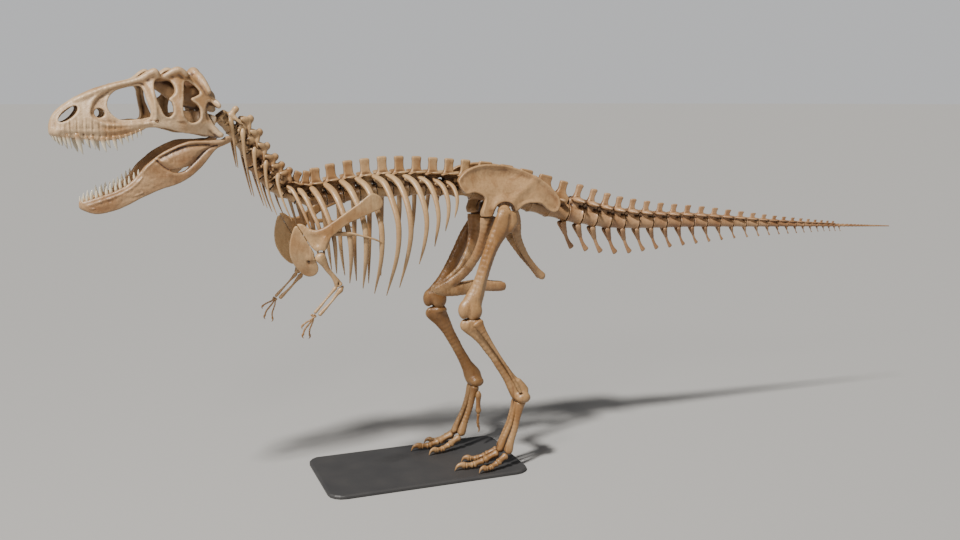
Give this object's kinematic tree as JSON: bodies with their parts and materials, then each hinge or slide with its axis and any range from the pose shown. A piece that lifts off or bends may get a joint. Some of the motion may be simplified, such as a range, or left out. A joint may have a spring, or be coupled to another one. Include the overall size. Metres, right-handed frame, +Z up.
{
  "type": "mounted theropod dinosaur skeleton",
  "caption": "Life-size mounted skeleton of a large meat-eating dinosaur, standing with its mouth open and tail level, on a flat base.",
  "frame": {"origin": "middle of the bounding box, at the underside of the base on the floor", "axes": "the head points to -X and the tail to +X, the animal's left side is -Y, +Z is up"},
  "size_m": [12.0706, 1.5388, 5.2719],
  "materials": {
    "head_bone": "satin fossil bone, pale ivory",
    "body_bone": "satin fossil bone, warm tan",
    "hip_bone": "satin fossil bone, pinkish brown",
    "tail_bone": "satin fossil bone, tan to ochre",
    "leg_bone": "satin fossil bone, ochre",
    "base_paint": "matt charcoal paint on board"
  },
  "bodies": {
    "root": {"stand_base": "base_paint", "skull": "head_bone", "mandible_left": "head_bone", "mandible_right": "head_bone", "neck_front": "body_bone", "neck_rear": "body_bone", "trunk_left": "body_bone", "trunk_right": "body_bone", "sacrum": "hip_bone", "tail_1": "tail_bone", "tail_2": "tail_bone", "tail_3": "tail_bone", "tail_4": "tail_bone", "tail_5": "tail_bone", "ilium_left": "hip_bone", "pubis_left": "hip_bone", "ischium_left": "hip_bone", "scapula_left": "body_bone", "coracoid_left": "body_bone", "humerus_left": "body_bone", "radius_left": "body_bone", "ulna_left": "body_bone", "hand_left": "body_bone", "femur_left": "leg_bone", "tibia_left": "leg_bone", "fibula_left": "leg_bone", "metatarsal_2_left": "leg_bone", "metatarsal_3_left": "leg_bone", "metatarsal_4_left": "leg_bone", "toe_2_left": "leg_bone", "toe_3_left": "leg_bone", "toe_4_left": "leg_bone", "hallux_left": "leg_bone", "ilium_right": "hip_bone", "pubis_right": "hip_bone", "ischium_right": "hip_bone", "scapula_right": "body_bone", "coracoid_right": "body_bone", "humerus_right": "body_bone", "radius_right": "body_bone", "ulna_right": "body_bone", "hand_right": "body_bone", "femur_right": "leg_bone", "tibia_right": "leg_bone", "fibula_right": "leg_bone", "metatarsal_2_right": "leg_bone", "metatarsal_3_right": "leg_bone", "metatarsal_4_right": "leg_bone", "toe_2_right": "leg_bone", "toe_3_right": "leg_bone", "toe_4_right": "leg_bone", "hallux_right": "leg_bone"}
  },
  "joints": []
}
